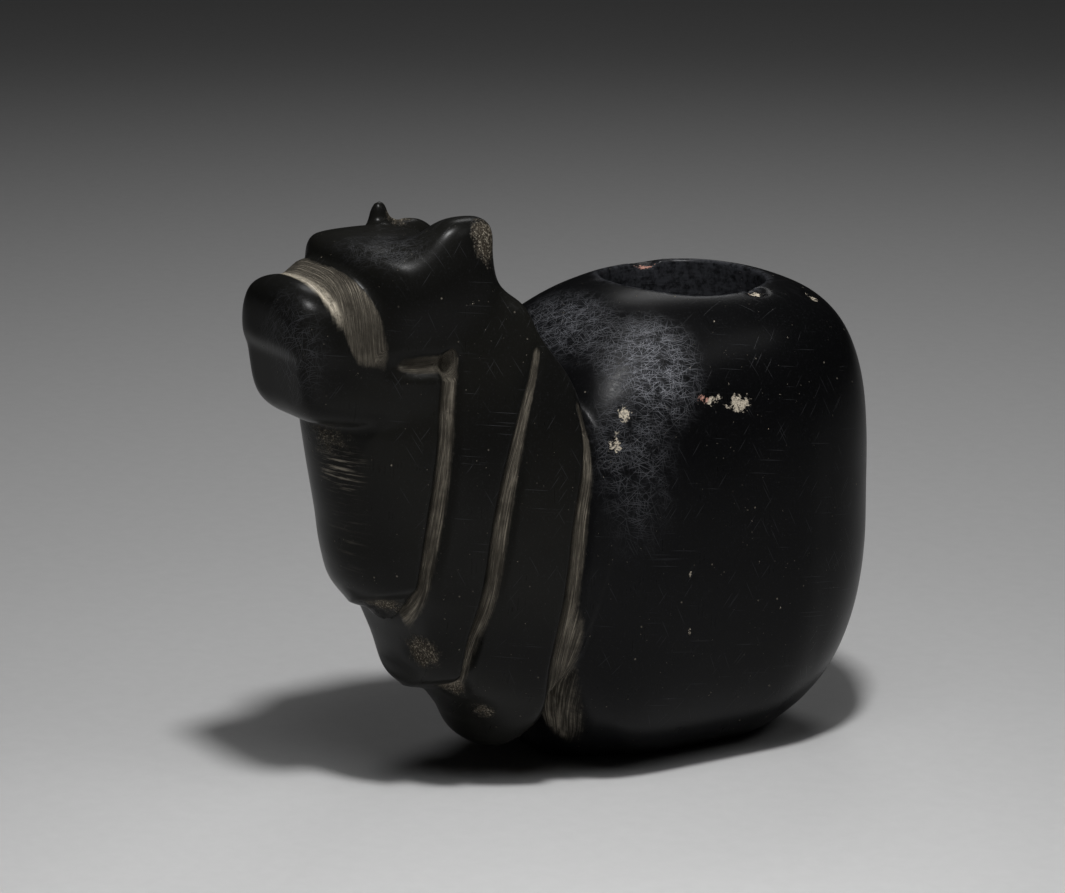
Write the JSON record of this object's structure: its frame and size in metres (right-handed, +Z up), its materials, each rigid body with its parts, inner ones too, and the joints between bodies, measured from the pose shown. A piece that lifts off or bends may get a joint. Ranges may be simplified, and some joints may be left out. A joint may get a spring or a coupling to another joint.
{
  "type": "carved stone alpaca offering vessel",
  "caption": "Small carved and polished black stone alpaca with chest fleece in tiers and a round drilled well in its back.",
  "frame": {"origin": "on the table plane under the axis of the well, inside the flat underside that the figure stands on", "axes": "+Z up along the well's axis, -Y the way the face looks, +X the animal's left side"},
  "size_m": [0.0478, 0.0957, 0.0838],
  "materials": {
    "black_stone": "polished near-black stone, worn, with pale matt scratches left in the carved grooves"
  },
  "bodies": {
    "root": {"carved_alpaca": "black_stone"}
  },
  "joints": []
}
